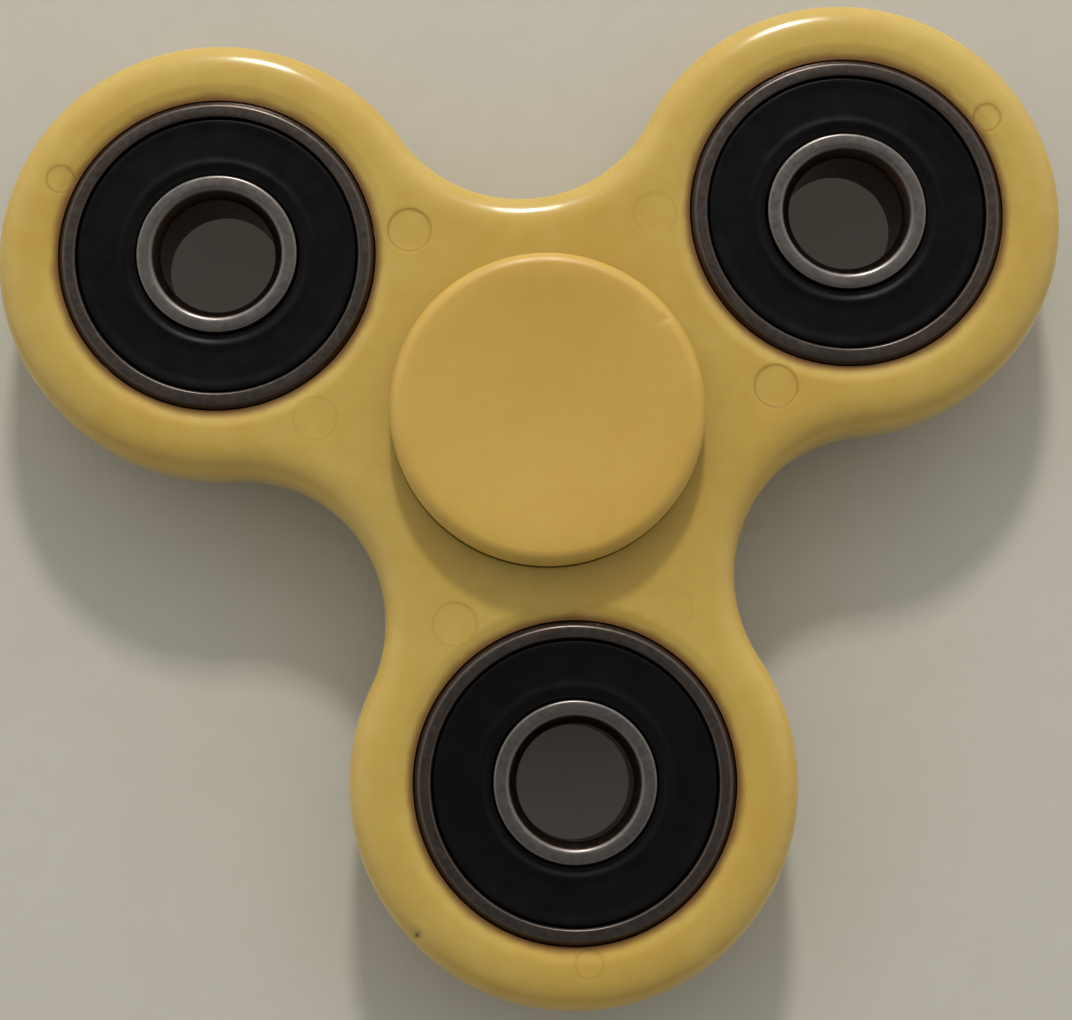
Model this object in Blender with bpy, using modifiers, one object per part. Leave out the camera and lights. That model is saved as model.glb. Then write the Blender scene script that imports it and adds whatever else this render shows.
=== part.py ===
"""Three-lobed fidget spinner: a moulded body, four sealed ball bearings and two finger caps.

The hub bearing carries the whole spinner. Its inner ring is clamped between two caps whose
stems press into its bore from above and below. The body, the four outer rings and their seals
turn round it. A bearing in each lobe is the weight, and its inner ring turns freely.

Frame: metres, +Z up along the spin axis, origin at the centre of the hub bearing.
The lobes are named front (-Y), right and left.
"""

import math

import bmesh
import bpy
from mathutils import Matrix

MM = 0.001

# Bearing: 22 mm outside, 8 mm bore, 7 mm wide, with seven balls in two deep grooves.
BEARING_R = 11.0 * MM
BORE_R = 4.0 * MM
BEARING_HALF = 3.5 * MM
BALL_R = 1.984 * MM
BALL_COUNT = 7
BALL_PITCH_R = 7.5 * MM
RUNNING_GAP = 0.1 * MM
STATIC_GAP = 0.15 * MM

# Bearing rings: shoulders beside the grooves, narrower faces beside the seals, edge chamfers.
SHOULDER_OUT_R = 8.95 * MM
SHOULDER_IN_R = 6.05 * MM
SHOULDER_HALF = 2.6 * MM
SEAL_SEAT_R = 9.7 * MM
INNER_FACE_R = 5.6 * MM
OUTER_CHAMFER = 0.4 * MM
BORE_CHAMFER_R = 0.5 * MM
BORE_CHAMFER_Z = 0.35 * MM
GROOVE_MOUTH_HALF = 1.5 * MM
GROOVE_FLOOR_HALF = 0.6 * MM

# Seals sit just below the bearing's faces.
SEAL_TOP_Z = 3.3 * MM

# Crown cage: a ring with seven pockets that are open towards +Z.
CAGE_IN_R = 6.5 * MM
CAGE_OUT_R = 8.5 * MM
CAGE_BACK_Z = -2.4 * MM
CAGE_TIP_Z = 1.2 * MM
POCKET_R = 2.1 * MM

# Body: three round lobes blended into the hub by concave arcs that are tangent to them.
LOBE_OFFSET = 25.55 * MM
LOBE_R = 15.5 * MM
WAIST_R = 15.7 * MM
BODY_HALF = 3.4 * MM
EDGE_ROUND = 2.4 * MM
LOBE_LIP_Z = 2.95 * MM
LOBE_LIP_R = 0.6 * MM
HUB_LIP_Z = 3.1 * MM

# Finger caps: a dished disc, a collar on the bearing's inner ring and a hollow stem in its bore.
CAP_R = 10.85 * MM
CAP_TOP_Z = 5.95 * MM
CAP_UNDER_Z = 4.1 * MM
CAP_RIM_IN_R = 9.2 * MM
CAP_RIM_OUT_R = 9.9 * MM
DISH_DEPTH = 0.6 * MM
COLLAR_R = 5.3 * MM
STEM_LENGTH = 2.9 * MM
STEM_WALL = 1.3 * MM

TURN_STEPS = 32
CAGE_STEPS = 28
POCKET_STEPS = 16
LOBE_STEPS = 24
WAIST_STEPS = 10
BALL_STEPS = 8
BALL_RINGS = 6
SHARP_ANGLE = math.radians(35)

COLOURS = {
    "body_plastic": ((0.55, 0.31, 0.05), 0.40, 0.0),
    "cap_plastic": ((0.55, 0.31, 0.06), 0.45, 0.0),
    "ring_steel": ((0.32, 0.31, 0.30), 0.38, 1.0),
    "seal_rubber": ((0.012, 0.012, 0.014), 0.55, 0.0),
    "ball_steel": ((0.62, 0.62, 0.62), 0.15, 1.0),
    "cage_nylon": ((0.55, 0.53, 0.47), 0.50, 0.0),
}


def clear_scene():
    """Remove every object that the file starts with."""
    for obj in list(bpy.data.objects):
        bpy.data.objects.remove(obj, do_unlink=True)


def collection(name):
    """A new collection under the scene's own."""
    made = bpy.data.collections.new(name)
    bpy.context.scene.collection.children.link(made)
    return made


def material(name):
    """A Principled BSDF material from the COLOURS table."""
    colour, roughness, metallic = COLOURS[name]
    made = bpy.data.materials.new(name)
    made.use_nodes = True
    shader = made.node_tree.nodes["Principled BSDF"]
    shader.inputs["Base Color"].default_value = (*colour, 1.0)
    shader.inputs["Roughness"].default_value = roughness
    shader.inputs["Metallic"].default_value = metallic
    return made


def baked_mesh(name, obj):
    """The object's evaluated mesh, welded and shaded smooth; the object itself is removed."""
    bpy.context.view_layer.update()
    evaluated = obj.evaluated_get(bpy.context.evaluated_depsgraph_get())
    mesh = bpy.data.meshes.new_from_object(evaluated)
    mesh.name = name
    bpy.data.objects.remove(obj, do_unlink=True)
    bm = bmesh.new()
    bm.from_mesh(mesh)
    bmesh.ops.remove_doubles(bm, verts=bm.verts, dist=0.001 * MM)
    bm.to_mesh(mesh)
    bm.free()
    mesh.shade_smooth()
    mesh.set_sharp_from_angle(angle=SHARP_ANGLE)
    return mesh


def turned(name, profile, steps=TURN_STEPS, closed=True):
    """A mesh turned about Z from (radius, z) points that run down the outer side first."""
    edges = [(i, i + 1) for i in range(len(profile) - 1)]
    if closed:
        edges.append((len(profile) - 1, 0))
    outline = bpy.data.meshes.new(name + "_profile")
    outline.from_pydata([(r, 0.0, z) for r, z in profile], edges, [])
    obj = bpy.data.objects.new(name + "_profile", outline)
    bpy.context.scene.collection.objects.link(obj)
    screw = obj.modifiers.new("turn", "SCREW")
    screw.axis = "Z"
    screw.angle = 2 * math.pi
    screw.steps = steps
    screw.render_steps = steps
    screw.use_merge_vertices = True
    screw.merge_threshold = 0.001 * MM
    return baked_mesh(name, obj)


def empty(name, parent=None, location=(0, 0, 0)):
    """An empty that carries a group of pieces, and marks its joint's axis."""
    made = bpy.data.objects.new(name, None)
    made.empty_display_size = 5 * MM
    made.location = location
    made.parent = parent
    parts.objects.link(made)
    return made


def piece(name, mesh, slot, parent, location=(0, 0, 0)):
    """One named sub-part with its own material, placed under its parent."""
    if not mesh.materials:
        mesh.materials.append(materials[slot])
    made = bpy.data.objects.new(name, mesh)
    made.location = location
    made.parent = parent
    parts.objects.link(made)
    return made


def cutter(name, mesh, parent=None, location=(0, 0, 0)):
    """A hidden object that a Boolean modifier takes away from a piece."""
    made = bpy.data.objects.new(name, mesh)
    made.location = location
    made.parent = parent
    made.hide_render = True
    made.display_type = "WIRE"
    cutters.objects.link(made)
    return made


def cut(obj, tool):
    """Take the cutter away from the piece."""
    boolean = obj.modifiers.new("cut_" + tool.name, "BOOLEAN")
    boolean.operation = "DIFFERENCE"
    boolean.solver = "EXACT"
    boolean.object = tool


def mirrored(profile):
    """The profile reflected in the plane z = 0, in the order that keeps its faces outward."""
    return [(r, -z) for r, z in reversed(profile)]


def outer_ring_profile():
    """Section of an outer ring: chamfered rim, recesses for the seals and a ball groove."""
    groove_r = BALL_PITCH_R + BALL_R + RUNNING_GAP
    outside = [
        (BEARING_R - OUTER_CHAMFER, BEARING_HALF),
        (BEARING_R, BEARING_HALF - OUTER_CHAMFER),
    ]
    inside_lower = [
        (SEAL_SEAT_R, -BEARING_HALF),
        (SEAL_SEAT_R, -SHOULDER_HALF),
        (SHOULDER_OUT_R, -SHOULDER_HALF),
        (SHOULDER_OUT_R, -GROOVE_MOUTH_HALF),
        (groove_r, -GROOVE_FLOOR_HALF),
    ]
    return outside + mirrored(outside) + inside_lower + mirrored(inside_lower)


def inner_ring_profile():
    """Section of an inner ring: steps beside the seals, a ball groove and a chamfered bore."""
    groove_r = BALL_PITCH_R - BALL_R - RUNNING_GAP
    outside = [
        (INNER_FACE_R, BEARING_HALF),
        (INNER_FACE_R, SHOULDER_HALF),
        (SHOULDER_IN_R, SHOULDER_HALF),
        (SHOULDER_IN_R, GROOVE_MOUTH_HALF),
        (groove_r, GROOVE_FLOOR_HALF),
    ]
    bore_lower = [
        (BORE_R + BORE_CHAMFER_R, -BEARING_HALF),
        (BORE_R, -BEARING_HALF + BORE_CHAMFER_Z),
    ]
    return outside + mirrored(outside) + bore_lower + mirrored(bore_lower)


def seal_profile():
    """Section of the upper seal, a flat rubber washer between the two rings."""
    outer_r = SEAL_SEAT_R - RUNNING_GAP
    inner_r = INNER_FACE_R + RUNNING_GAP
    under_z = SHOULDER_HALF + STATIC_GAP
    return [(outer_r, SEAL_TOP_Z), (outer_r, under_z), (inner_r, under_z), (inner_r, SEAL_TOP_Z)]


def cage_profile():
    """Section of the cage's ring before its pockets are cut."""
    return [
        (CAGE_OUT_R, CAGE_TIP_Z),
        (CAGE_OUT_R, CAGE_BACK_Z),
        (CAGE_IN_R, CAGE_BACK_Z),
        (CAGE_IN_R, CAGE_TIP_Z),
    ]


def cap_profile():
    """Section of the upper cap, from the middle of its dish round to the inside of its stem."""
    edge_r = CAP_R - CAP_RIM_OUT_R
    dish = [
        (CAP_RIM_IN_R * k / 3, CAP_TOP_Z - DISH_DEPTH * (1 - (k / 3) ** 2))
        for k in range(4)
    ]
    rim = [
        (
            CAP_RIM_OUT_R + edge_r * math.sin(math.radians(angle)),
            CAP_TOP_Z - edge_r * (1 - math.cos(math.radians(angle))),
        )
        for angle in (0, 30, 60, 90)
    ]
    stem_r = BORE_R - RUNNING_GAP
    stem_end_z = BEARING_HALF - STEM_LENGTH
    seat_z = BEARING_HALF + RUNNING_GAP
    below = [
        (CAP_R - 0.4 * MM, CAP_UNDER_Z),
        (COLLAR_R, CAP_UNDER_Z),
        (COLLAR_R, seat_z),
        (stem_r, seat_z),
        (stem_r, stem_end_z),
        (stem_r - STEM_WALL, stem_end_z),
        (stem_r - STEM_WALL, CAP_UNDER_Z),
        (0.0, CAP_UNDER_Z),
    ]
    return dish + rim + below


def lobe_hole_profile():
    """Section of a lobe's bearing seat, with sloping lips that open towards both faces."""
    seat_r = BEARING_R + RUNNING_GAP
    slope = LOBE_LIP_R / (BODY_HALF - LOBE_LIP_Z)
    end_z = BODY_HALF + EDGE_ROUND
    end_r = seat_r + slope * (end_z - LOBE_LIP_Z)
    upper = [(0.0, end_z), (end_r, end_z), (seat_r, LOBE_LIP_Z)]
    return upper + mirrored(upper)


def hub_hole_profile():
    """Section of the hub's bearing seat, with snap lips that close over the ring's chamfers."""
    seat_r = BEARING_R + RUNNING_GAP
    end_z = BODY_HALF + 0.5 * MM
    end_r = seat_r - (end_z - HUB_LIP_Z)
    upper = [(0.0, end_z), (end_r, end_z), (seat_r, HUB_LIP_Z)]
    return upper + mirrored(upper)


def arc(centre, radius, start, end, steps):
    """Points along an arc, without its last point; angles are in radians."""
    angles = [start + (end - start) * i / steps for i in range(steps)]
    return [
        (centre[0] + radius * math.cos(a), centre[1] + radius * math.sin(a)) for a in angles
    ]


def body_outline():
    """Closed outline of three lobe arcs, each joined to the next by a tangent concave arc.

    The waist's radius follows from its distance to the hub: its centre lies on the line
    midway between two lobes, and it touches both lobe circles.
    """
    waist_arc_r = (LOBE_R**2 - WAIST_R**2 - LOBE_OFFSET**2 + WAIST_R * LOBE_OFFSET) / (
        2 * WAIST_R - LOBE_OFFSET - 2 * LOBE_R
    )
    waist_offset = WAIST_R + waist_arc_r
    half_pitch = math.pi / 3
    touch = math.atan2(
        waist_offset * math.sin(half_pitch), waist_offset * math.cos(half_pitch) - LOBE_OFFSET
    )
    points = []
    for angle in LOBE_ANGLES.values():
        lobe = (LOBE_OFFSET * math.cos(angle), LOBE_OFFSET * math.sin(angle))
        points += arc(lobe, LOBE_R, angle - touch, angle + touch, LOBE_STEPS)
        between = angle + half_pitch
        waist = (waist_offset * math.cos(between), waist_offset * math.sin(between))
        sweep = touch - half_pitch
        points += arc(
            waist, waist_arc_r, between + math.pi + sweep, between + math.pi - sweep, WAIST_STEPS
        )
    return points


def body_mesh():
    """The body before its seats are cut: the outline filled, thickened and rounded."""
    points = body_outline()
    curve = bpy.data.curves.new("body_outline", "CURVE")
    curve.dimensions = "2D"
    curve.fill_mode = "BOTH"
    curve.extrude = BODY_HALF - EDGE_ROUND
    curve.bevel_depth = EDGE_ROUND
    curve.bevel_resolution = 2
    curve.offset = -EDGE_ROUND
    spline = curve.splines.new("POLY")
    spline.points.add(len(points) - 1)
    for point, (x, y) in zip(spline.points, points):
        point.co = (x, y, 0.0, 1.0)
    spline.use_cyclic_u = True
    obj = bpy.data.objects.new("body_outline", curve)
    bpy.context.scene.collection.objects.link(obj)
    mesh = baked_mesh("body", obj)
    bpy.data.curves.remove(curve)
    return mesh


def pocket_cutters():
    """Seven round bars that lie along the cage's radii, one for each ball."""
    bm = bmesh.new()
    for k in range(BALL_COUNT):
        angle = 2 * math.pi * k / BALL_COUNT
        place = (
            Matrix.Rotation(angle, 4, "Z")
            @ Matrix.Translation((BALL_PITCH_R, 0, 0))
            @ Matrix.Rotation(math.pi / 2, 4, "Y")
        )
        bmesh.ops.create_cone(
            bm,
            cap_ends=True,
            segments=POCKET_STEPS,
            radius1=POCKET_R,
            radius2=POCKET_R,
            depth=2 * (CAGE_OUT_R - CAGE_IN_R),
            matrix=place,
        )
    mesh = bpy.data.meshes.new("pockets")
    bm.to_mesh(mesh)
    bm.free()
    return mesh


def ball_mesh():
    """One ball of the bearings."""
    bm = bmesh.new()
    bmesh.ops.create_uvsphere(bm, u_segments=BALL_STEPS, v_segments=BALL_RINGS, radius=BALL_R)
    mesh = bpy.data.meshes.new("ball")
    bm.to_mesh(mesh)
    bm.free()
    mesh.shade_smooth()
    return mesh


def bearing(name, meshes, outer_parent, inner_parent, cage_parent, centre):
    """A sealed bearing: two rings, two seals, a cage and its balls, round one axis."""
    piece(name + "_outer_ring", meshes["outer"], "ring_steel", outer_parent, centre)
    piece(name + "_inner_ring", meshes["inner"], "ring_steel", inner_parent)
    piece(name + "_seal_top", meshes["seal_top"], "seal_rubber", outer_parent, centre)
    piece(name + "_seal_bottom", meshes["seal_bottom"], "seal_rubber", outer_parent, centre)
    cage = piece(name + "_cage", meshes["cage"], "cage_nylon", cage_parent)
    cut(cage, cutter(name + "_pockets", meshes["pockets"], cage_parent))
    for k in range(BALL_COUNT):
        angle = 2 * math.pi * k / BALL_COUNT
        place = (BALL_PITCH_R * math.cos(angle), BALL_PITCH_R * math.sin(angle), 0)
        piece(f"{name}_ball_{k + 1}", meshes["ball"], "ball_steel", cage_parent, place)


# ---- The object, from the part that is held outwards ----

LOBE_ANGLES = {
    "front": math.radians(-90),
    "right": math.radians(30),
    "left": math.radians(150),
}

clear_scene()
parts = collection("fidget_spinner")
cutters = collection("cutters")
materials = {slot: material(slot) for slot in COLOURS}

bearing_meshes = {
    "outer": turned("outer_ring", outer_ring_profile()),
    "inner": turned("inner_ring", inner_ring_profile()),
    "seal_top": turned("seal_top", seal_profile()),
    "seal_bottom": turned("seal_bottom", mirrored(seal_profile())),
    "cage": turned("cage", cage_profile(), CAGE_STEPS),
    "pockets": pocket_cutters(),
    "ball": ball_mesh(),
}

# The caps and the hub's inner ring stay still between the fingers.
holder = empty("holder_axis")
piece("cap_top", turned("cap_top", cap_profile(), closed=False), "cap_plastic", holder)
piece(
    "cap_bottom",
    turned("cap_bottom", mirrored(cap_profile()), closed=False),
    "cap_plastic",
    holder,
)

# The body turns round them on the hub bearing.
rotor = empty("rotor_axis")
body = piece("body", body_mesh(), "body_plastic", rotor)
cut(body, cutter("hub_seat", turned("hub_seat", hub_hole_profile(), closed=False), rotor))
hub_cage_axis = empty("hub_cage_axis")
bearing("hub", bearing_meshes, rotor, holder, hub_cage_axis, (0, 0, 0))

# Each lobe carries a bearing whose inner ring and cage turn about the lobe's own axis.
lobe_seat = turned("lobe_seat", lobe_hole_profile(), closed=False)
for lobe_name, lobe_angle in LOBE_ANGLES.items():
    lobe_centre = (LOBE_OFFSET * math.cos(lobe_angle), LOBE_OFFSET * math.sin(lobe_angle), 0)
    cut(body, cutter(lobe_name + "_seat", lobe_seat, rotor, lobe_centre))
    ring_axis = empty(lobe_name + "_ring_axis", rotor, lobe_centre)
    cage_axis = empty(lobe_name + "_cage_axis", rotor, lobe_centre)
    bearing(lobe_name, bearing_meshes, rotor, ring_axis, cage_axis, lobe_centre)

bpy.context.view_layer.update()
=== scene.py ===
"""Three-lobed fidget spinner: a yellow moulded body, four sealed steel bearings, two finger caps.

Sizes are in millimetres; a mesh is scaled to metres when its points are handed to Blender.
"""

import bmesh
import bpy
import numpy as np
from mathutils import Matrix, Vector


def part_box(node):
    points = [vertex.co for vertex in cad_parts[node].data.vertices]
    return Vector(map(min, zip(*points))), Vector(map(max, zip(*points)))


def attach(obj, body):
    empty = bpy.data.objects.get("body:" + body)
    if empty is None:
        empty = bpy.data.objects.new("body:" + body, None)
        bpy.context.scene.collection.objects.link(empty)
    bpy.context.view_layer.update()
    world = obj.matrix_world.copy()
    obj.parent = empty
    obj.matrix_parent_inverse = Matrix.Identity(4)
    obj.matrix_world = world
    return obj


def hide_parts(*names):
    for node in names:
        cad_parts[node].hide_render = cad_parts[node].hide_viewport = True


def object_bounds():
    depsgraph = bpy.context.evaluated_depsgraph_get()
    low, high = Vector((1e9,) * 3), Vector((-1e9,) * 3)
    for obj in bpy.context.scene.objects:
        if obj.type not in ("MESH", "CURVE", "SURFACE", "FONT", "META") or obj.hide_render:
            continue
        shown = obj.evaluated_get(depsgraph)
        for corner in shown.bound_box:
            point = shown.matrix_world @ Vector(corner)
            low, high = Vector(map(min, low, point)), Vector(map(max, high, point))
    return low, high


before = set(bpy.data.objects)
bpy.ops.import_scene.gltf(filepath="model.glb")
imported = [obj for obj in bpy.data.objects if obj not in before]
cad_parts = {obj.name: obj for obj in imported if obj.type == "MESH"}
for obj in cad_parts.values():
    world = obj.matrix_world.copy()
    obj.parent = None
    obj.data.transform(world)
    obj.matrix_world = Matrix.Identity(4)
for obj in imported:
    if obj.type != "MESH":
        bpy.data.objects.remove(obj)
cad_low, cad_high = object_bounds()


# ---- Moulded body ------------------------------------------------------------------------
# One injection moulding in yellow ABS, about 7 mm thick: three round lobes blended into a hub,
# with a seat for a bearing in each. The mould rounds its edges, and the pins that pushed it out
# of the mould have left a small round mark at each lobe's tip and two larger ones at its root.

MM = 0.001
body_low, body_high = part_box("body")
front_low, front_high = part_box("front_outer_ring")
BODY_HALF = body_high.z / MM
BEARING_R = (front_high.x - front_low.x) / 2 / MM
LOBE_OFFSET = -(front_low.y + front_high.y) / 2 / MM
LOBE_R = -body_low.y / MM - LOBE_OFFSET
SEAT_R = BEARING_R + 0.06
ARMS = {"front": np.radians(-90), "right": np.radians(30), "left": np.radians(150)}
WAIST_R = 15.7
ROOT_LINE = LOBE_OFFSET / 2

ROUND_WIDTH = 3.2
ROUND_DROP = 2.7
ROUND_POWER = 2.8
LIP_WIDTH = 1.3
LIP_DROP = 0.27
SNAP_Z = 3.1
SNAP_STEP = 0.25
SNAP_ROUND = 0.07
PARTING_RIDGE = 0.02
PARTING_REACH = 0.12

TIP_PIN = (LOBE_OFFSET + 12.2, 0.0, 0.95)
ROOT_PIN = (14.24, 7.41, 1.5)
PIN_DEPTH = 0.075
FAINT_PIN_SHARE = 0.3
FRONT_PIN_SHARE = 0.45
FAINT_PIN_ANGLE = np.radians(5)
PIN_BLUR = 0.20
NICK = (-11.4, -35.0)
NICK_REACH = 0.55
NICK_PUSH = (0.09, 0.07, -0.11)

LOBE_COLUMNS = 100
WAIST_COLUMNS = 22
MEETING_COLUMNS = 80
RIM_ROWS = 26
TOP_ROWS = 26
UNDERSIDE_ROWS = 12
ROW_CROWDING = 1.3
WELD_DISTANCE = 0.0005

WAIST_ARC_R = (LOBE_R**2 - WAIST_R**2 - LOBE_OFFSET**2 + WAIST_R * LOBE_OFFSET) / (
    2 * WAIST_R - LOBE_OFFSET - 2 * LOBE_R
)
WAIST_CENTRE = (WAIST_R + WAIST_ARC_R) * np.exp(1j * np.pi / 3)
TOUCH_ANGLE = np.angle(WAIST_CENTRE - LOBE_OFFSET)


def in_half_arm(x, y):
    """Points as they lie in the half arm that the body repeats six times: the distance from the
    hub's axis stays, and the angle becomes the unsigned angle from the nearest arm."""
    angle = np.arctan2(y, x) - ARMS["right"]
    angle = np.abs((angle + np.pi / 3) % (2 * np.pi / 3) - np.pi / 3)
    return np.hypot(x, y) * np.cos(angle), np.hypot(x, y) * np.sin(angle)


def inside_outline(x, y):
    """Distance in from the outline, which is the lobe's circle up to the angle where the arc of
    the waist touches it, and that arc beyond it."""
    along, across = in_half_arm(x, y)
    on_lobe = np.arctan2(across, along - LOBE_OFFSET) < TOUCH_ANGLE
    lobe = LOBE_R - np.hypot(along - LOBE_OFFSET, across)
    waist = np.hypot(along - WAIST_CENTRE.real, across - WAIST_CENTRE.imag) - WAIST_ARC_R
    return np.where(on_lobe, lobe, waist)


def outside_lobe_seat(x, y):
    """Distance out from the nearest lobe's seat."""
    along, across = in_half_arm(x, y)
    return np.hypot(along - LOBE_OFFSET, across) - SEAT_R


def outside_pin_marks(x, y):
    """Distance out from the rim of the nearest ejector mark, negative within it."""
    along, across = in_half_arm(x, y)
    marks = [np.hypot(along - px, across - py) - r for px, py, r in (TIP_PIN, ROOT_PIN)]
    return np.minimum(*marks)


def pin_strength(x, y):
    """How deep the marks are pressed here: fully before an arm's axis, turning anticlockwise,
    and only faintly past it, because the pins there stood a little further back. The front
    arm's marks are all shallower."""
    past = (np.arctan2(y, x) - ARMS["right"] + np.pi / 3) % (2 * np.pi / 3) - np.pi / 3
    on_front = y < -np.abs(x) * np.tan(np.pi / 6)
    share = np.where(past < FAINT_PIN_ANGLE, 1.0, FAINT_PIN_SHARE)
    return share * np.where(on_front, FRONT_PIN_SHARE, 1.0)


def smooth_step(share):
    """Three times the square of a share less twice its cube, which is level at both ends."""
    return share**2 * (3 - 2 * share)


def face_height(x, y, marked):
    """Height of a face above the mid-plane. From its crest it falls to the outline along a
    superellipse, and into a lobe's seat along a smooth step. An ejector mark is pressed in by
    the same step."""
    to_edge = np.clip(1 - inside_outline(x, y) / ROUND_WIDTH, 0, 1)
    to_seat = np.clip(1 - outside_lobe_seat(x, y) / LIP_WIDTH, 0, 1)
    round_over = 1 - (1 - to_edge**ROUND_POWER) ** (1 / ROUND_POWER)
    z = BODY_HALF - ROUND_DROP * round_over - LIP_DROP * smooth_step(to_seat)
    if marked:
        inside = np.clip(0.5 - outside_pin_marks(x, y) / PIN_BLUR, 0, 1)
        z = z - smooth_step(inside) * PIN_DEPTH * pin_strength(x, y)
    return z


def arm_outline():
    """One arm's outline, as arc centre, arc radius, inward sign and direction in each column,
    all complex or real arrays. Half of it runs from the lobe's tip round to the middle of the
    waist, and the other half mirrors it. Also the number of the column at the arm's root."""
    lobe = np.linspace(0, TOUCH_ANGLE, LOBE_COLUMNS)
    root_cosine = (ROOT_LINE - WAIST_CENTRE.real) / (WAIST_ARC_R + ROUND_WIDTH)
    root_angle = 2 * np.pi - np.arccos(root_cosine)
    near_lobe = np.linspace(TOUCH_ANGLE + np.pi, root_angle, WAIST_COLUMNS)[1:]
    near_hub = np.linspace(root_angle, 4 * np.pi / 3, WAIST_COLUMNS)[1:]
    direction = np.exp(1j * np.concatenate([lobe, near_lobe, near_hub]))
    on_lobe = np.arange(len(direction)) < len(lobe)
    centre = np.where(on_lobe, LOBE_OFFSET, WAIST_CENTRE)
    radius = np.where(on_lobe, LOBE_R, WAIST_ARC_R)
    sign = np.where(on_lobe, -1.0, 1.0)
    half = [centre, radius, sign, direction]
    mirrored = [values.conj()[:0:-1] for values in half]
    return [np.concatenate(pair)[:-1] for pair in zip(mirrored, half)], len(near_hub)


def inset(outline, distance):
    """Points on an outline's columns, at a distance in from it."""
    centre, radius, sign, direction = outline
    return centre + (radius + sign * distance) * direction


def seat_grid(centre, boundary, wall, rows, marked):
    """A face from a round seat out to a closed boundary, with the seat's wall below it. Each
    column is the straight line from the seat's axis to its boundary point; rows climb the wall,
    given as radius and height, and then go outward, closer together at first."""
    direction = (boundary - centre) / np.abs(boundary - centre)
    reach = np.abs(boundary - centre)
    start_r = wall[-1][0]
    radius = start_r + (reach - start_r) * np.linspace(0, 1, rows)[:, None] ** ROW_CROWDING
    plan = centre + radius * direction
    height = face_height(plan.real, plan.imag, marked)
    wall_r, wall_z = [np.array(values)[:, None] for values in zip(*wall[:-1])]
    wall_plan = centre + wall_r * direction
    plan = np.concatenate([wall_plan, plan])
    height = np.concatenate([wall_z * np.ones(wall_plan.shape), height])
    return np.stack([plan.real, plan.imag, height], -1)


def rim_grid(outline, marked):
    """The rounded rim, from where the face starts to fall, out to the outline and down to the
    mid-plane, where the halves of the mould met and left a faint ridge."""
    turn = np.linspace(np.pi / 2, 0, RIM_ROWS)
    distances = ROUND_WIDTH * (1 - np.cos(turn) ** (2 / ROUND_POWER))
    plan = np.stack([inset(outline, distance) for distance in distances])
    height = face_height(plan.real, plan.imag, marked)
    side = np.stack([inset(outline, 0.0), inset(outline, -PARTING_RIDGE)])
    side_height = np.array([[PARTING_REACH], [0.0]]) * np.ones(side.shape)
    plan = np.concatenate([plan, side])
    return np.stack([plan.real, plan.imag, np.concatenate([height, side_height])], -1)


def body_half(rows, marked):
    """The body's upper half: its rim, and a face about each lobe's seat and about the hub's.
    The faces meet along straight lines across the arms' roots."""
    arm, root = arm_outline()
    turns = [np.exp(1j * angle) for angle in ARMS.values()]
    arms = [[arm[0] * turn, arm[1], arm[2], arm[3] * turn] for turn in turns]
    grids = [rim_grid([np.concatenate(parts) for parts in zip(*arms)], marked)]
    crests = [inset(outline, ROUND_WIDTH) for outline in arms]
    hub_boundary = []
    for i, crest in enumerate(crests):
        near, far = crest[root], crest[-root]
        line = near + (far - near) * np.linspace(0, 1, MEETING_COLUMNS)
        boundary = np.concatenate([crest[root : len(crest) - root + 1], line[-2:0:-1]])
        wall = [(SEAT_R, 0.0), (SEAT_R, 1.5), (SEAT_R, None)]
        grids.append(seat_grid(LOBE_OFFSET * turns[i], boundary, wall, rows, marked))
        hub_boundary += [line, crest[len(crest) - root + 1 :], crests[(i + 1) % 3][:root]]
    snap_r = SEAT_R - SNAP_STEP
    snap = [(snap_r, BODY_HALF - SNAP_ROUND), (snap_r + SNAP_ROUND, None)]
    wall = [(SEAT_R, 0.0), (SEAT_R, SNAP_Z), *snap]
    grids.append(seat_grid(0, np.concatenate(hub_boundary), wall, rows, marked))
    return grids


def dented(points, nick, reach, push):
    """Points pushed along one way, by the square of a parabola of their distance from a nick."""
    distance = np.hypot(points[..., 0] - nick[0], points[..., 1] - nick[1])
    closeness = np.clip(1 - (distance / reach) ** 2, 0, 1)
    return points + (closeness**2)[..., None] * np.array(push)


def grid_faces(rows, columns, closed_rows):
    """The corner numbers of a grid's quads, whose columns close into a ring. A quad faces along
    its row direction crossed with its column direction."""
    i, j = np.meshgrid(np.arange(rows if closed_rows else rows - 1), np.arange(columns), indexing="ij")
    down, on = (i + 1) % rows, (j + 1) % columns
    corners = [i * columns + j, down * columns + j, down * columns + on, i * columns + on]
    return np.stack(corners, -1).reshape(-1, 4)


def surface_mesh(name, grids, closed_rows=False, fields=None, crease=40):
    """One welded, smooth-shaded mesh of grids of points, with a value or a vector stored at
    each point for every named field."""
    points = np.concatenate([grid.reshape(-1, 3) for grid in grids])
    starts = np.cumsum([0] + [grid[..., 0].size for grid in grids])
    faces = [grid_faces(*grid.shape[:2], closed_rows) + s for grid, s in zip(grids, starts)]
    mesh = bpy.data.meshes.new(name)
    mesh.from_pydata(points * MM, [], np.concatenate(faces))
    for label, values in (fields or {}).items():
        kind, key = ("FLOAT", "value") if values.ndim == 1 else ("FLOAT_VECTOR", "vector")
        stored = mesh.attributes.new(label, kind, "POINT")
        stored.data.foreach_set(key, values.astype(np.float32).ravel())
    welded = bmesh.new()
    welded.from_mesh(mesh)
    bmesh.ops.remove_doubles(welded, verts=welded.verts, dist=WELD_DISTANCE * MM)
    welded.to_mesh(mesh)
    welded.free()
    mesh.shade_smooth()
    mesh.set_sharp_from_angle(angle=np.radians(crease))
    return mesh


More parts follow.
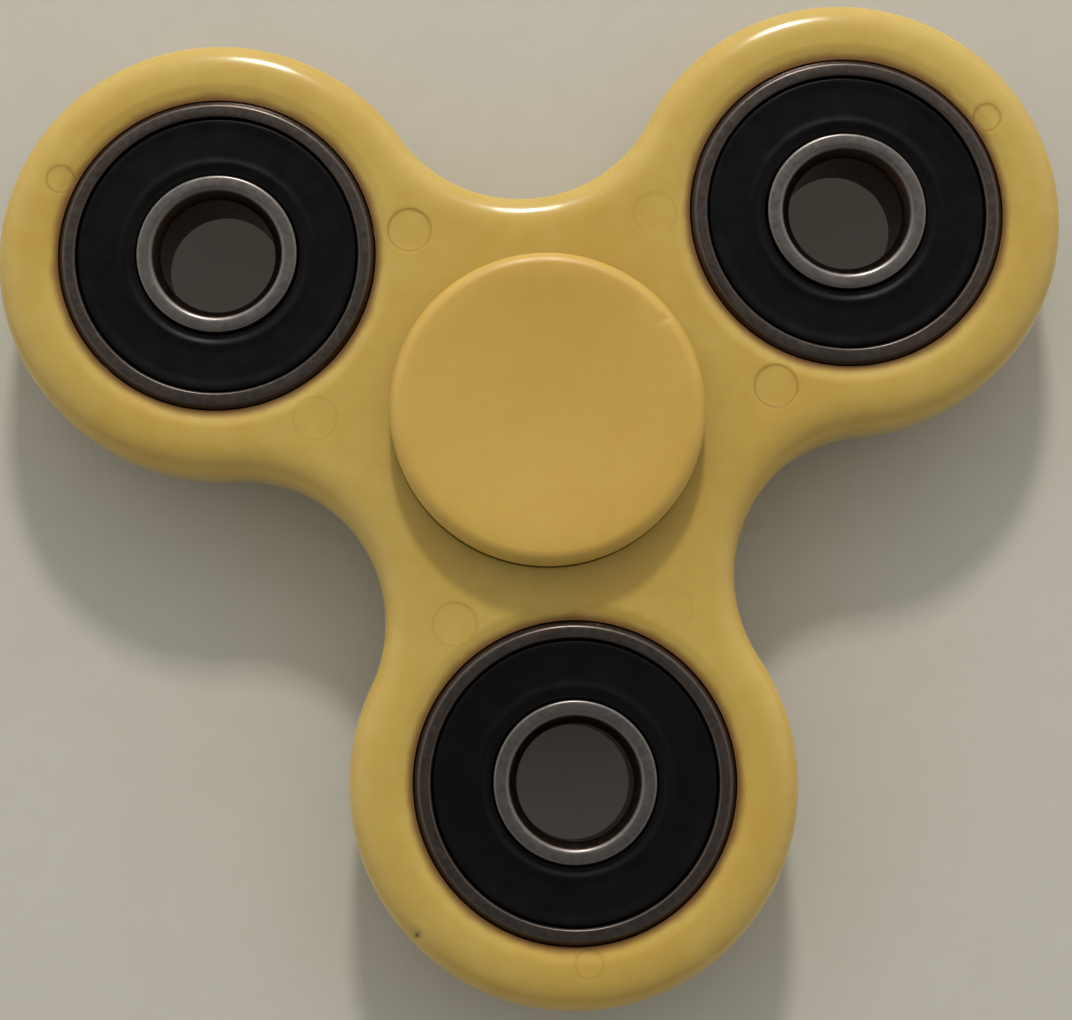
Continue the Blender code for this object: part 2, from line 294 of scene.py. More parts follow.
def add_piece(name, mesh, finish, body, node):
    """Show a finished mesh in place of a CAD node, riding on the node's body."""
    mesh.materials.append(finish)
    piece = bpy.data.objects.new(name, mesh)
    bpy.context.scene.collection.objects.link(piece)
    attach(piece, body)
    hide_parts(node)


def feed(tree, node, values):
    """Give a node's inputs, by name or number, a fixed value or another node's output."""
    for key, value in values.items():
        if isinstance(value, bpy.types.NodeSocket):
            tree.links.new(value, node.inputs[key])
        else:
            node.inputs[key].default_value = value
    return node


def sums(tree, operation, *values, clamp=False):
    """One step of arithmetic on values or outputs."""
    node = tree.nodes.new("ShaderNodeMath")
    node.operation = operation
    node.use_clamp = clamp
    return feed(tree, node, dict(enumerate(values))).outputs[0]


def noise(tree, vector, scale, detail):
    """Cloudy noise from 0 to 1, with a number of repeats per metre."""
    node = tree.nodes.new("ShaderNodeTexNoise")
    return feed(tree, node, {"Vector": vector, "Scale": scale, "Detail": detail}).outputs[0]


def spread(tree, value, low, high, to_low=0.0, to_high=1.0, smooth=False):
    """A value's range from low to high stretched over another range, and held at its ends."""
    node = tree.nodes.new("ShaderNodeMapRange")
    node.interpolation_type = "SMOOTHSTEP" if smooth else "LINEAR"
    ends = {"From Min": low, "From Max": high, "To Min": to_low, "To Max": to_high}
    return feed(tree, node, {"Value": value, **ends}).outputs[0]


def blend(tree, share, first, second):
    """A colour between two others."""
    node = tree.nodes.new("ShaderNodeMix")
    node.data_type = "RGBA"
    return feed(tree, node, {0: share, 6: first, 7: second}).outputs[2]


USUAL_NOISE = (0.3, 0.7)
DRIFT_SCALE = 90.0
MOTTLE_SCALE = 600.0
GRAIN_SCALE = 5200.0
WANDER_SCALE = 420.0
WANDER = (0.75, 1.2)
GLOW_SHARE = 0.35
GLOW_REACH = (1.0, 0.7, 0.3)


def effect_group(name, inputs, outputs):
    """An empty node group whose sockets are given as names and kinds, or names and defaults."""
    group = bpy.data.node_groups.new(name, "ShaderNodeTree")
    for label, default in inputs.items():
        kind = "NodeSocketFloat" if isinstance(default, float) else "NodeSocketColor"
        socket = group.interface.new_socket(name=label, in_out="INPUT", socket_type=kind)
        socket.default_value = default
    for label, kind in outputs.items():
        group.interface.new_socket(name=label, in_out="OUTPUT", socket_type=kind)
    return group, group.nodes.new("NodeGroupInput").outputs, group.nodes.new("NodeGroupOutput")


def use_effect(tree, group, values):
    """The outputs of an effect placed in a material with that material's own values."""
    node = tree.nodes.new("ShaderNodeGroup")
    node.node_tree = group
    return feed(tree, node, values).outputs


def moulded_skin():
    """The skin of a moulded part: slow drifts and a fine mottle between two shades, a gloss that
    follows the mottle, and a height for the faint orange peel and grain."""
    group, given, result = effect_group(
        "moulded skin",
        {"Pale": (1, 1, 1, 1), "Deep": (0, 0, 0, 1), "Gloss": 0.25, "Dullness": 0.4},
        {"Colour": "NodeSocketColor", "Roughness": "NodeSocketFloat", "Height": "NodeSocketFloat"},
    )
    at = group.nodes.new("ShaderNodeTexCoord").outputs["Object"]
    drift = noise(group, at, DRIFT_SCALE, 3.0)
    mottle = noise(group, at, MOTTLE_SCALE, 4.0)
    grain = noise(group, at, GRAIN_SCALE, 2.0)
    shade = sums(group, "MULTIPLY_ADD", mottle, 0.5, sums(group, "MULTIPLY", drift, 0.7))
    colour = blend(group, spread(group, shade, 0.45, 0.75), given["Pale"], given["Deep"])
    rough = spread(group, mottle, *USUAL_NOISE, given["Gloss"], given["Dullness"])
    feed(group, result, {"Colour": colour, "Roughness": rough})
    feed(group, result, {"Height": sums(group, "MULTIPLY_ADD", grain, 0.25, mottle)})
    return group


def gathered_dirt_and_shade():
    """A darker colour that thins out over a short reach from an edge, and wanders with a cloudy noise:
    real dirt in some uses, and partly painted shade in others.
    """
    group, given, result = effect_group(
        "gathered dirt and shade",
        {
            "Surface": (1, 1, 1, 1),
            "Dirt and shade": (0, 0, 0, 1),
            "Distance": 1.0,
            "Reach": 0.3,
            "Strength": 0.8,
        },
        {"Colour": "NodeSocketColor"},
    )
    at = group.nodes.new("ShaderNodeTexCoord").outputs["Object"]
    wander = spread(group, noise(group, at, WANDER_SCALE, 3.0), *USUAL_NOISE, *WANDER)
    reach = sums(group, "MULTIPLY", given["Reach"], wander)
    away = sums(group, "ABSOLUTE", given["Distance"])
    near = spread(group, sums(group, "DIVIDE", away, reach), 0.0, 1.0, 1.0, 0.0, smooth=True)
    share = sums(group, "MULTIPLY", near, given["Strength"], clamp=True)
    feed(group, result, {"Colour": blend(group, share, given["Surface"], given["Dirt and shade"])})
    return group


def stored_value(tree, name, output="Fac"):
    """A field that the mesh stores at each point."""
    node = tree.nodes.new("ShaderNodeAttribute")
    node.attribute_name = name
    return node.outputs[output]


def new_material(name):
    """A material, its node tree and its Principled shader's inputs."""
    material = bpy.data.materials.new(name)
    material.use_nodes = True
    return material, material.node_tree, material.node_tree.nodes["Principled BSDF"].inputs


def relief(tree, shader, height, depth, strength):
    """Let a height, with its full depth in millimetres, tilt a shader's normal."""
    node = tree.nodes.new("ShaderNodeBump")
    feed(tree, node, {"Height": height, "Distance": depth * MM, "Strength": strength})
    tree.links.new(node.outputs[0], shader["Normal"])


def let_light_in(shader):
    """Let light enter a plastic and leave it up to a millimetre away, the red the farthest."""
    shader["Subsurface Weight"].default_value = GLOW_SHARE
    shader["Subsurface Radius"].default_value = GLOW_REACH
    shader["Subsurface Scale"].default_value = 1.0 * MM


YELLOW = (0.630, 0.460, 0.118, 1)
DEEP_YELLOW = (0.590, 0.400, 0.085, 1)
# The colour beside each bearing is partly brown stain and partly painted shade, standing in for the
# shadow of the ring that stands proud of the plastic.
SEAT_STAIN_AND_SHADE = (0.150, 0.052, 0.016, 1)
SEAM_BROWN = (0.060, 0.020, 0.008, 1)
# The ring at each ejector mark's rim is partly the mark's own line and partly painted shade of the
# recess's edge.
PIN_LINE_AND_SHADE = (0.330, 0.180, 0.035, 1)

skin_effect = moulded_skin()
dirt_and_shade_effect = gathered_dirt_and_shade()


def body_plastic():
    """Yellow ABS, darker beside each bearing, where the brown is partly stain and partly painted shade
    for the ring that stands proud of the plastic, and in a ring round each ejector mark's rim, partly
    the mark's own line and partly painted shade of its edge.
    """
    material, tree, shader = new_material("body plastic")
    skin = use_effect(
        tree, skin_effect, {"Pale": YELLOW, "Deep": DEEP_YELLOW, "Gloss": 0.14, "Dullness": 0.25}
    )
    # Painted shade mixed with the mark's own line: a darker ring at each ejector mark's rim, the same
    # all round, standing in for the shade at the recess's edge.
    pins = {
        "Surface": skin["Colour"],
        "Dirt and shade": PIN_LINE_AND_SHADE,
        "Distance": stored_value(tree, "from_pin_mark"),
        "Reach": 0.16,
        "Strength": sums(tree, "MULTIPLY", stored_value(tree, "pin_strength"), 0.55),
    }
    nick = {
        "Surface": use_effect(tree, dirt_and_shade_effect, pins)["Colour"],
        "Dirt and shade": SEAM_BROWN,
        "Distance": stored_value(tree, "from_nick"),
        "Reach": 0.35,
        "Strength": 0.95,
    }
    # Painted shade mixed with stain: a darker band out from each seat, the same on every side, in
    # place of the ring's shadow and the crevice's occlusion.
    seats = {
        "Surface": use_effect(tree, dirt_and_shade_effect, nick)["Colour"],
        "Dirt and shade": SEAT_STAIN_AND_SHADE,
        "Distance": stored_value(tree, "from_seat"),
        "Reach": 0.70,
        "Strength": 0.88,
    }
    colour = use_effect(tree, dirt_and_shade_effect, seats)["Colour"]
    feed(tree, shader[0].node, {"Base Color": colour, "Roughness": skin["Roughness"]})
    relief(tree, shader, skin["Height"], 0.03, 0.25)
    let_light_in(shader)
    return material


TURNED_OVER = np.array([1, 1, -1])
upper = [dented(grid, NICK, NICK_REACH, NICK_PUSH) for grid in body_half(TOP_ROWS, True)]
lower = [grid[:, ::-1] * TURNED_OVER for grid in body_half(UNDERSIDE_ROWS, False)]
x, y, z = np.concatenate([grid.reshape(-1, 3) for grid in upper + lower]).T
fields = {
    "from_pin_mark": np.where(z > 0, outside_pin_marks(x, y), LOBE_R),
    "pin_strength": pin_strength(x, y),
    "from_nick": np.hypot(x - NICK[0], y - NICK[1]) + np.where(z > 0, 0, LOBE_R),
    "from_seat": outside_lobe_seat(x, y),
}
body_mesh = surface_mesh("moulded_body", upper + lower, fields=fields)
add_piece("moulded_body", body_mesh, body_plastic(), "rotor", "body")


# ---- Bearing rings -----------------------------------------------------------------------
# Turned and ground bearing steel, four sets of an outer and an inner ring, with a groove for
# the balls between them. The outer rings are pressed into the body's seats, and their faces
# are dull and lightly scored by handling.

RING_HALF = front_high.z / MM
SHOULDER_HALF = 2.6
PITCH_R = 7.5
GROOVE_R = 2.084
GROOVE_HALF = 1.5
GROOVE_EDGE = 1.7
OUTER_CHAMFER = 0.4
OUTER_FACE_R = 9.94
OUTER_STEP_R = 9.80
SEAL_SEAT_R = 9.82
OUTER_SHOULDER_R = 8.95
INNER_FACE_R = 5.6
INNER_SHOULDER_R = 6.05
BORE_R = 4.0
BORE_MOUTH_R = 4.62
BORE_FLARE = 0.85
RING_COLUMNS = 144
CORNER_POINTS = 5
STEEL = (0.124, 0.106, 0.096, 1)
DARK_STEEL = (0.092, 0.074, 0.065, 1)
BRIGHT_STEEL = (0.216, 0.200, 0.188, 1)
MIDDLING_STEEL = (0.178, 0.164, 0.154, 1)
# Off the ground faces the steel is darker, partly for its unground finish and partly as painted shade
# for the dim room that the chamfers reflect.
UNGROUND_AND_SHADE = (0.050, 0.034, 0.026, 1)
UNGROUND_AND_SHADE_FROM = 0.05
UNGROUND_AND_SHADE_TO = 0.22
MARK_STRETCH = (1.3, 1.3, 14.0)
MARK_SCALE = 2.2
HANDLING_SCALE = 2400.0


def rounded_profile(corners):
    """A closed turned profile from corners of radius, height and rounding. Each corner becomes
    a quadratic curve between the points that its rounding sets back along its two sides."""
    corners = np.array(corners, float)
    at, setback = corners[:, :2], corners[:, 2:]
    towards = np.roll(at, 1, axis=0) - at
    onwards = np.roll(at, -1, axis=0) - at
    begin = at + setback * towards / np.linalg.norm(towards, axis=1, keepdims=True)
    end = at + setback * onwards / np.linalg.norm(onwards, axis=1, keepdims=True)
    t = np.linspace(0, 1, CORNER_POINTS)[:, None, None]
    curve = (1 - t) ** 2 * begin + 2 * t * (1 - t) * at + t**2 * end
    return curve.transpose(1, 0, 2).reshape(-1, 2)


def groove(side):
    """The ball groove's arc in a ring's profile, as radius and height, from top to bottom or
    back: a circle about the balls' pitch circle, cut off at the groove's mouth."""
    mouth = np.arcsin(GROOVE_HALF / GROOVE_R)
    angle = np.linspace(-mouth, mouth, 17)
    return np.stack([PITCH_R + side * GROOVE_R * np.cos(angle), side * GROOVE_R * np.sin(angle)], -1)


def turned_grid(centre, profile, columns=RING_COLUMNS):
    """A profile of radii and heights turned about an upright axis through a centre."""
    angle = np.linspace(0, 2 * np.pi, columns, endpoint=False)
    radius, height = profile[:, :1], profile[:, 1:]
    x = centre[0] + radius * np.cos(angle)
    y = centre[1] + radius * np.sin(angle)
    return np.stack([x, y, height * np.ones(columns)], -1)


def turned_field(profile, columns=RING_COLUMNS):
    """The direction about the axis, as its cosine and sine, and the way along the profile: a
    place that runs true with the marks of turning."""
    angle = np.linspace(0, 2 * np.pi, columns, endpoint=False)
    steps = np.linalg.norm(np.diff(profile, axis=0, prepend=profile[:1]), axis=1)
    way = np.cumsum(steps)[:, None] * np.ones(columns)
    return np.stack([np.cos(angle) * np.ones(way.shape), np.sin(angle) * np.ones(way.shape), way], -1)


def middle(node):
    """The middle of a CAD node's box."""
    low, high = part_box(node)
    return (low + high) / 2 / MM


def turned_piece(name, profile, finish, body, node):
    """A turned piece about the middle of the CAD node that it stands for."""
    below_face = (RING_HALF - np.abs(profile[:, 1:])) * np.ones(RING_COLUMNS)
    fields = {"turning": turned_field(profile).reshape(-1, 3), "below_face": below_face.ravel()}
    mesh = surface_mesh(name, [turned_grid(middle(node), profile)], True, fields)
    add_piece(name, mesh, finish, body, node)


def turning_marks():
    """Fine lines left by turning, long round the axis and close together across it, with a
    broader mottle of handling over them."""
    group, given, result = effect_group(
        "turning marks",
        {"Bright": (1, 1, 1, 1), "Dark": (0, 0, 0, 1), "Gloss": 0.3, "Dullness": 0.5},
        {"Colour": "NodeSocketColor", "Roughness": "NodeSocketFloat", "Height": "NodeSocketFloat"},
    )
    turning = stored_value(group, "turning", "Vector")
    stretch = group.nodes.new("ShaderNodeVectorMath")
    stretch.operation = "MULTIPLY"
    feed(group, stretch, {0: turning, 1: MARK_STRETCH})
    lines = noise(group, stretch.outputs[0], MARK_SCALE, 3.0)
    at = group.nodes.new("ShaderNodeTexCoord").outputs["Object"]
    mottle = noise(group, at, HANDLING_SCALE, 3.0)
    share = spread(group, sums(group, "MULTIPLY_ADD", mottle, 0.6, lines), 0.55, 1.05)
    feed(group, result, {"Colour": blend(group, share, given["Dark"], given["Bright"])})
    rough = spread(group, mottle, *USUAL_NOISE, given["Gloss"], given["Dullness"])
    feed(group, result, {"Roughness": rough, "Height": lines})
    return group


turning_effect = turning_marks()


def ring_steel(name, bright, dark):
    """Steel with the lines of turning round its axis, ground on its faces and darker off them: the
    chamfers and sides are partly dark unground steel and partly painted shade for the dim room that
    they reflect.
    """
    material, tree, shader = new_material(name)
    values = {"Bright": bright, "Dark": dark, "Gloss": 0.28, "Dullness": 0.40}
    marks = use_effect(tree, turning_effect, values)
    # Painted shade mixed with the unground finish: darker steel on the chamfers and sides, below the
    # ground faces.
    unground_and_shade = spread(tree, stored_value(tree, "below_face"), UNGROUND_AND_SHADE_FROM, UNGROUND_AND_SHADE_TO)
    colour = blend(tree, unground_and_shade, marks["Colour"], UNGROUND_AND_SHADE)
    feed(tree, shader[0].node, {"Base Color": colour, "Roughness": marks["Roughness"]})
    relief(tree, shader, marks["Height"], 0.006, 0.5)
    shader["Metallic"].default_value = 1.0
    return material


def outer_ring_profile():
    """Down the outside, in across the bottom, up the inside with the seals' seats and the ball
    groove, and out across the top."""
    below = [
        (BEARING_R, -RING_HALF + OUTER_CHAMFER, 0.12),
        (BEARING_R - OUTER_CHAMFER, -RING_HALF, 0.12),
        (OUTER_FACE_R, -RING_HALF, 0.07),
        (OUTER_STEP_R, -RING_HALF + 0.16, 0.06),
        (SEAL_SEAT_R, -SHOULDER_HALF - 0.02, 0.03),
        (OUTER_SHOULDER_R, -SHOULDER_HALF, 0.08),
    ]
    above = [(r, -z, setback) for r, z, setback in reversed(below)]
    edges = [(OUTER_SHOULDER_R, z, 0.02) for z in (-GROOVE_EDGE, GROOVE_EDGE)]
    points = rounded_profile(below + edges + above)
    split = len(points) // 2
    return np.concatenate([points[:split], groove(1), points[split:]])


def inner_ring_profile():
    """Down the outside, with the ball groove, and back up the bore, both ends chamfered."""
    outside = [
        (INNER_FACE_R, RING_HALF, 0.26),
        (5.62, SHOULDER_HALF, 0.05),
        (INNER_SHOULDER_R, SHOULDER_HALF - 0.02, 0.08),
        (INNER_SHOULDER_R, GROOVE_EDGE, 0.02),
    ]
    lower = [(r, -z, setback) for r, z, setback in reversed(outside)]
    bore = [
        (BORE_MOUTH_R, -RING_HALF, 0.26),
        (BORE_R, -RING_HALF + BORE_FLARE, 0.15),
        (BORE_R, RING_HALF - BORE_FLARE, 0.15),
        (BORE_MOUTH_R, RING_HALF, 0.26),
    ]
    points = rounded_profile(outside + lower + bore)
    split = len(outside) * CORNER_POINTS
    return np.concatenate([points[:split], groove(-1), points[split:]])


outer_steel = ring_steel("outer ring steel", STEEL, DARK_STEEL)
inner_steel = ring_steel("inner ring steel", BRIGHT_STEEL, MIDDLING_STEEL)
BEARINGS = ["hub", *ARMS]
for place in BEARINGS:
    node = f"{place}_outer_ring"
    turned_piece(f"{place}_race_outer", outer_ring_profile(), outer_steel, "rotor", node)
for place in BEARINGS:
    node = f"{place}_inner_ring"
    body = "holder" if place == "hub" else f"{place}_ring"
    turned_piece(f"{place}_race_inner", inner_ring_profile(), inner_steel, body, node)


# ---- Balls -------------------------------------------------------------------------------
# Seven polished steel balls in each bearing, out of sight between the rings. They carry the
# load, and the cage leads them round.

BALLS = 7
BALL_R = 1.984
BALL_ROWS = 17
BALL_COLUMNS = 28
POLISHED = (0.60, 0.60, 0.61, 1)
CLOUDED = (0.50, 0.50, 0.51, 1)


def ball_steel():
    """Polished steel with a faint film of grease."""
    material, tree, shader = new_material("ball steel")
    values = {"Pale": POLISHED, "Deep": CLOUDED, "Gloss": 0.10, "Dullness": 0.18}
    film = use_effect(tree, skin_effect, values)
    feed(tree, shader[0].node, {"Base Color": film["Colour"], "Roughness": film["Roughness"]})
    shader["Metallic"].default_value = 1.0
    return material


def ball_grid(centre):
    """A sphere about a centre: latitudes from pole to pole, by longitudes."""
    latitude = np.linspace(np.pi / 2, -np.pi / 2, BALL_ROWS)
    profile = BALL_R * np.stack([np.cos(latitude), np.sin(latitude)], -1)
    return turned_grid(centre, profile, columns=BALL_COLUMNS)


polished_steel = ball_steel()
for place in BEARINGS:
    body = f"{place}_cage"
    for number in range(1, BALLS + 1):
        name, node = f"{place}_bead_{number}", f"{place}_ball_{number}"
        mesh = surface_mesh(name, [ball_grid(middle(node))])
        add_piece(name, mesh, polished_steel, body, node)


# ---- Cages -------------------------------------------------------------------------------
# A crown of natural nylon in each bearing, which keeps the balls evenly apart. It is moulded
# with seven round pockets, open at the top so that the balls snap in.

CAGE_INNER_R = 6.5
CAGE_OUTER_R = 8.5
CAGE_TOP = 1.2
CAGE_BOTTOM = -2.4
POCKET_R = 2.1
POCKET_COLUMNS = 25
BRIDGE_COLUMNS = 7
BOTTOM_SHARE = 0.42
NYLON = (0.50, 0.46, 0.36, 1)
DEEP_NYLON = (0.44, 0.40, 0.30, 1)


def cage_nylon():
    """Natural nylon, off-white and half matt."""
    material, tree, shader = new_material("cage nylon")
    values = {"Pale": NYLON, "Deep": DEEP_NYLON, "Gloss": 0.42, "Dullness": 0.6}
    skin = use_effect(tree, skin_effect, values)
    feed(tree, shader[0].node, {"Base Color": skin["Colour"], "Roughness": skin["Roughness"]})
    relief(tree, shader, skin["Height"], 0.02, 0.3)
    return material


def cage_grid(centre, first_ball):
    """A band about the axis, four corners to a section. Its top edge runs level between balls
    and dips round each along the pocket's circle; its bottom edge is level throughout."""
    mouth = np.arcsin(CAGE_TOP / POCKET_R)
    round_pocket = np.linspace(np.pi - mouth, 2 * np.pi + mouth, POCKET_COLUMNS)
    pocket_way = POCKET_R * np.cos(round_pocket)
    pocket_top = POCKET_R * np.sin(round_pocket)
    pitch = 2 * np.pi * PITCH_R / BALLS
    bridge = np.linspace(pocket_way[-1], pitch + pocket_way[0], BRIDGE_COLUMNS)[1:-1]
    way = np.concatenate([pocket_way, bridge])
    top = np.concatenate([pocket_top, np.full(bridge.shape, CAGE_TOP)])
    even = np.linspace(-1, 1, len(pocket_way)) * pitch * BOTTOM_SHARE
    between = np.linspace(even[-1], pitch + even[0], BRIDGE_COLUMNS)[1:-1]
    bottom_way = np.concatenate([even, between])
    starts = first_ball + 2 * np.pi / BALLS * np.arange(BALLS)[:, None]
    top_angle = (starts + way / PITCH_R).ravel()
    bottom_angle = (starts + bottom_way / PITCH_R).ravel()
    top_height = np.tile(top, BALLS)
    bottom_height = np.full(top_height.shape, CAGE_BOTTOM)
    edges = [
        (CAGE_OUTER_R, top_angle, top_height),
        (CAGE_OUTER_R, bottom_angle, bottom_height),
        (CAGE_INNER_R, bottom_angle, bottom_height),
        (CAGE_INNER_R, top_angle, top_height),
    ]
    rows = [
        np.stack([centre[0] + r * np.cos(a), centre[1] + r * np.sin(a), h], -1)
        for r, a, h in edges
    ]
    return np.stack(rows)


natural_nylon = cage_nylon()
for place in BEARINGS:
    node = f"{place}_cage"
    centre = middle(f"{place}_inner_ring")
    ball = middle(f"{place}_ball_1") - centre
    grid = cage_grid(centre, np.arctan2(ball.y, ball.x))
    mesh = surface_mesh(f"{place}_crown", [grid], closed_rows=True, crease=35)
    add_piece(f"{place}_crown", mesh, natural_nylon, node, node)


# ---- Seals -------------------------------------------------------------------------------
# Black nitrile rubber discs, moulded on a thin washer and snapped into the outer rings. Each
# has a raised bead near its inner edge, and its lip stops just short of the inner ring.

SEAL_INNER_R = 5.7
SEAL_OUTER_R = 9.74
SEAL_UNDER = 2.75
BLACK = (0.0030, 0.0028, 0.0034, 1)
DUSTY_BLACK = (0.0048, 0.0044, 0.0048, 1)


def seal_rubber():
    """Black rubber with a little dust in its grain."""
    material, tree, shader = new_material("seal rubber")
    values = {"Pale": BLACK, "Deep": DUSTY_BLACK, "Gloss": 0.32, "Dullness": 0.44}
    skin = use_effect(tree, skin_effect, values)
    feed(tree, shader[0].node, {"Base Color": skin["Colour"], "Roughness": skin["Roughness"]})
    relief(tree, shader, skin["Height"], 0.03, 0.4)
    shader["Specular IOR Level"].default_value = 0.12
    return material


def seal_profile(side):
    """The disc's section, with its bead, for the top or, turned over, for the bottom."""
    corners = [
        (SEAL_OUTER_R, 3.08, 0.10),
        (SEAL_OUTER_R, SEAL_UNDER, 0.05),
        (SEAL_INNER_R, SEAL_UNDER, 0.05),
        (SEAL_INNER_R, 3.10, 0.08),
        (6.05, 3.12, 0.10),
        (6.45, 3.28, 0.18),
        (6.95, 3.17, 0.20),
        (8.90, 3.20, 0.15),
        (9.40, 3.28, 0.12),
        (9.62, 3.26, 0.10),
    ]
    if side > 0:
        return rounded_profile(corners)
    return rounded_profile([(r, -z, setback) for r, z, setback in reversed(corners)])


black_rubber = seal_rubber()
for place in BEARINGS:
    for half, side in (("top", 1), ("bottom", -1)):
        name, node = f"{place}_rubber_{half}", f"{place}_seal_{half}"
        turned_piece(name, seal_profile(side), black_rubber, "rotor", node)


# ---- Finger caps -------------------------------------------------------------------------
# Two buttons of the same yellow ABS, moulded a little more matt. A hollow stem presses each one
# into the hub bearing's bore, a collar stands on the inner ring, and a dish takes the finger.

cap_low, cap_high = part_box("cap_top")
CAP_R = (cap_high.x - cap_low.x) / 2 / MM
CAP_TOP = cap_high.z / MM
CAP_UNDER = 4.1
CAP_ROUND = 0.95
DISH_R = 9.4
DISH_DEPTH = 0.45
DISH_POWER = 1.4
COLLAR_R = 5.3
COLLAR_END = RING_HALF + 0.1
STEM_R = 3.9
STEM_BORE_R = 2.6
STEM_END = 0.6
CAP_COLUMNS = 300
DISH_ROWS = 24
EDGE_ROWS = 12
CAP_NICK = (8.48, 5.47)
CAP_NICK_REACH = 0.4
CAP_NICK_PUSH = (-0.03, -0.02, -0.09)
CAP_YELLOW = (0.650, 0.440, 0.100, 1)
CAP_DEEP_YELLOW = (0.615, 0.395, 0.080, 1)


def cap_plastic():
    """Yellow ABS, a little more matt and even than the body's."""
    material, tree, shader = new_material("cap plastic")
    values = {"Pale": CAP_YELLOW, "Deep": CAP_DEEP_YELLOW, "Gloss": 0.32, "Dullness": 0.46}
    skin = use_effect(tree, skin_effect, values)
    feed(tree, shader[0].node, {"Base Color": skin["Colour"], "Roughness": skin["Roughness"]})
    relief(tree, shader, skin["Height"], 0.03, 0.25)
    let_light_in(shader)
    return material


def cap_profile():
    """From the middle of the dish out over the rim, round the edge, in across the underside to
    the collar, down the stem and up its hollow. The dish is a parabola that eases into the rim,
    and the edge is a quarter circle."""
    dish_r = np.linspace(0, DISH_R, DISH_ROWS)
    dish_z = CAP_TOP - DISH_DEPTH * (1 - (dish_r / DISH_R) ** 2) ** DISH_POWER
    turn = np.linspace(np.pi / 2, 0, EDGE_ROWS)
    edge_r = CAP_R - CAP_ROUND + CAP_ROUND * np.cos(turn)
    edge_z = CAP_TOP - CAP_ROUND + CAP_ROUND * np.sin(turn)
    below = [
        (CAP_R, CAP_UNDER + 0.30),
        (CAP_R - 0.08, CAP_UNDER + 0.10),
        (CAP_R - 0.28, CAP_UNDER),
        (COLLAR_R + 0.15, CAP_UNDER),
        (COLLAR_R, CAP_UNDER - 0.12),
        (COLLAR_R, COLLAR_END + 0.06),
        (COLLAR_R - 0.06, COLLAR_END),
        (STEM_R + 0.05, COLLAR_END),
        (STEM_R, COLLAR_END - 0.05),
        (STEM_R, STEM_END + 0.25),
        (STEM_R - 0.25, STEM_END),
        (STEM_BORE_R, STEM_END),
        (STEM_BORE_R, CAP_UNDER - 0.3),
        (STEM_BORE_R - 0.3, CAP_UNDER),
        (0, CAP_UNDER),
    ]
    return np.concatenate([np.stack([dish_r, dish_z], -1), np.stack([edge_r, edge_z], -1), below])


matt_yellow = cap_plastic()
cap_grid = turned_grid((0, 0), cap_profile(), columns=CAP_COLUMNS)
upper_cap = surface_mesh("upper_cap", [dented(cap_grid, CAP_NICK, CAP_NICK_REACH, CAP_NICK_PUSH)])
add_piece("upper_cap", upper_cap, matt_yellow, "holder", "cap_top")
lower_cap = surface_mesh("lower_cap", [cap_grid[:, ::-1] * TURNED_OVER])
add_piece("lower_cap", lower_cap, matt_yellow, "holder", "cap_bottom")


# ---- Table, light and camera -------------------------------------------------------------
# The spinner lies on its lower cap on a pale table, lit by one soft lamp beyond +Y and by a
# dim room that is darkest overhead. The camera looks down on it.

TABLE_HALF = 600.0
TABLE_PALE = (0.600, 0.590, 0.528, 1)
TABLE_DEEP = (0.582, 0.570, 0.507, 1)
LAMP_DISTANCE = 0.75
LAMP_ELEVATION = np.radians(32.5)
LAMP_TURN = np.radians(3.7)
LAMP_SIZE = (0.080, 0.065)
LAMP_WATTS = 2.68
LAMP_COLOUR = (1.0, 0.955, 0.89)
ROOM_COLOUR = (1.0, 0.965, 0.91, 1)
ROOM_OVERHEAD = 0.24
ROOM_SIDES = 0.75
SIDES_UP_TO = 0.62
OVERHEAD_FROM = 0.97
ROOM_NEAR_SHARE = 0.34
ROOM_FAR_SHARE = 1.52
ROOM_REACH = 0.9
CAMERA_PLACE = (-0.0060, -0.0242, 0.1525)
CAMERA_TILT = (6.778, -1.308, -4.294)
CAMERA_LENS = 73.2
CAMERA_CLIP = 0.01


def table_grid():
    """A flat square centred under the object, a little finer than its four corners need."""
    along = np.linspace(-TABLE_HALF, TABLE_HALF, 9)
    x, y = np.meshgrid(along, along, indexing="ij")
    return np.stack([x, y, np.full(x.shape, cad_low.z / MM)], -1)


def table_top():
    """A painted table, nearly even."""
    material, tree, shader = new_material("table top")
    values = {"Pale": TABLE_PALE, "Deep": TABLE_DEEP, "Gloss": 0.62, "Dullness": 0.75}
    skin = use_effect(tree, skin_effect, values)
    feed(tree, shader[0].node, {"Base Color": skin["Colour"], "Roughness": skin["Roughness"]})
    return material


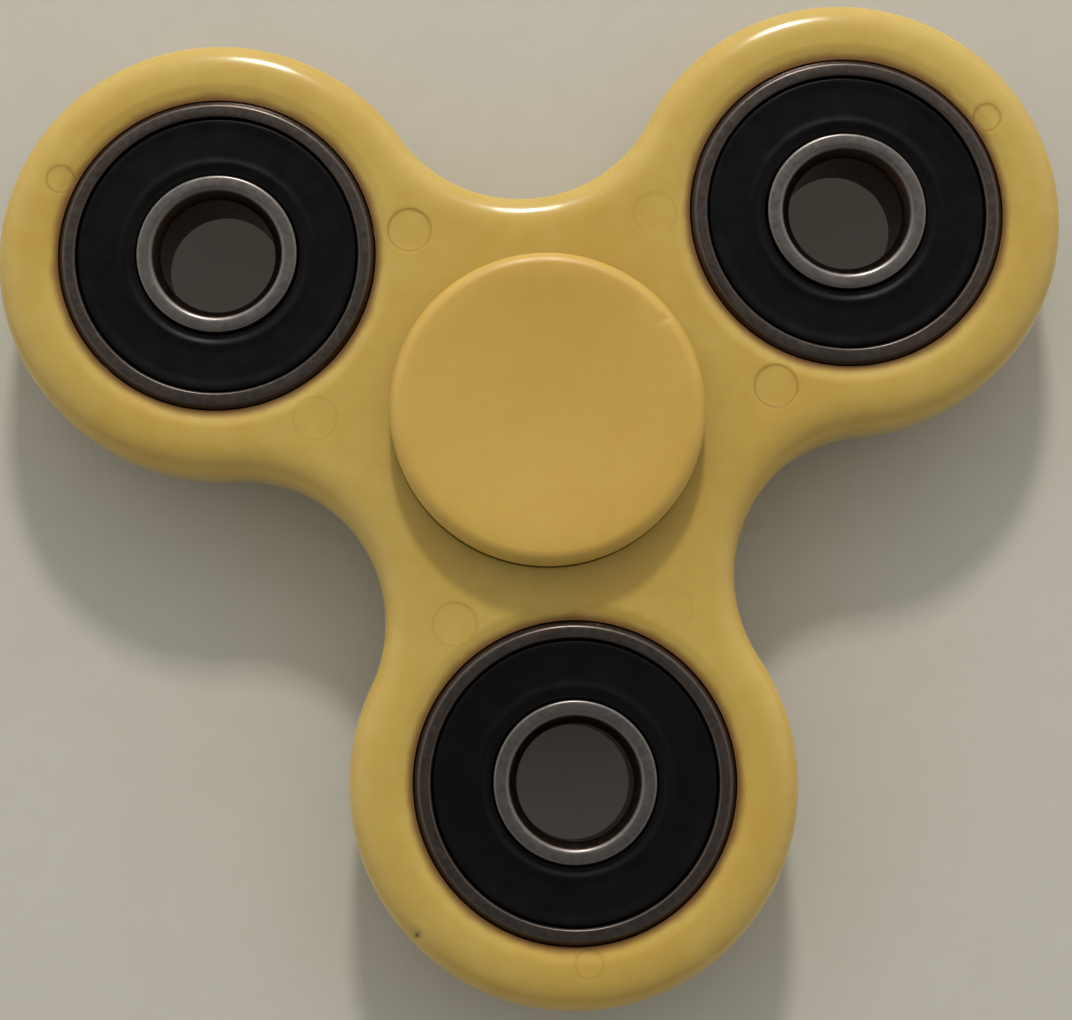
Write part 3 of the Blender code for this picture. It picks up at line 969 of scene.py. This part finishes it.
def room_light():
    """A dim room, darkest overhead, and brighter beyond +Y, where the lamp is, than on -Y."""
    world = bpy.data.worlds.new("dim room")
    world.use_nodes = True
    tree = world.node_tree
    way = tree.nodes.new("ShaderNodeTexCoord").outputs["Generated"]
    split = tree.nodes.new("ShaderNodeSeparateXYZ")
    up, along = feed(tree, split, {"Vector": way}).outputs["Z"], split.outputs["Y"]
    heights = (SIDES_UP_TO, OVERHEAD_FROM, ROOM_SIDES, ROOM_OVERHEAD)
    above = spread(tree, up, *heights, smooth=True)
    beyond = spread(tree, along, -ROOM_REACH, ROOM_REACH, ROOM_NEAR_SHARE, ROOM_FAR_SHARE)
    strength = sums(tree, "MULTIPLY", above, beyond)
    feed(tree, tree.nodes["Background"], {"Color": ROOM_COLOUR, "Strength": strength})
    return world


def lamp():
    """A soft rectangular lamp beyond +Y and a little towards +X, turned to face the object."""
    light = bpy.data.lights.new("window lamp", "AREA")
    light.shape = "RECTANGLE"
    light.size, light.size_y = LAMP_SIZE
    light.energy = LAMP_WATTS
    light.color = LAMP_COLOUR
    placed = bpy.data.objects.new("window lamp", light)
    level = np.cos(LAMP_ELEVATION)
    way = [level * np.sin(LAMP_TURN), level * np.cos(LAMP_TURN), np.sin(LAMP_ELEVATION)]
    placed.location = LAMP_DISTANCE * np.array(way)
    placed.rotation_euler = (LAMP_ELEVATION - np.pi / 2, 0, -LAMP_TURN)
    return placed


def camera():
    """A camera above the object, turned a few degrees off straight down."""
    lens = bpy.data.cameras.new("camera")
    lens.lens = CAMERA_LENS
    lens.clip_start = CAMERA_CLIP
    placed = bpy.data.objects.new("camera", lens)
    placed.location = CAMERA_PLACE
    placed.rotation_euler = np.radians(CAMERA_TILT)
    return placed


scene = bpy.context.scene
table_points = table_grid()
table_mesh = bpy.data.meshes.new("table")
table_faces = grid_faces(*table_points.shape[:2], False)
table_faces = table_faces[table_faces[:, 0] % table_points.shape[1] < table_points.shape[1] - 1]
table_mesh.from_pydata(table_points.reshape(-1, 3) * MM, [], table_faces)
table_mesh.materials.append(table_top())
table = bpy.data.objects.new("table", table_mesh)
scene.world = room_light()
scene.camera = camera()
for thing in (table, lamp(), scene.camera):
    scene.collection.objects.link(thing)
scene.view_settings.view_transform = "Standard"
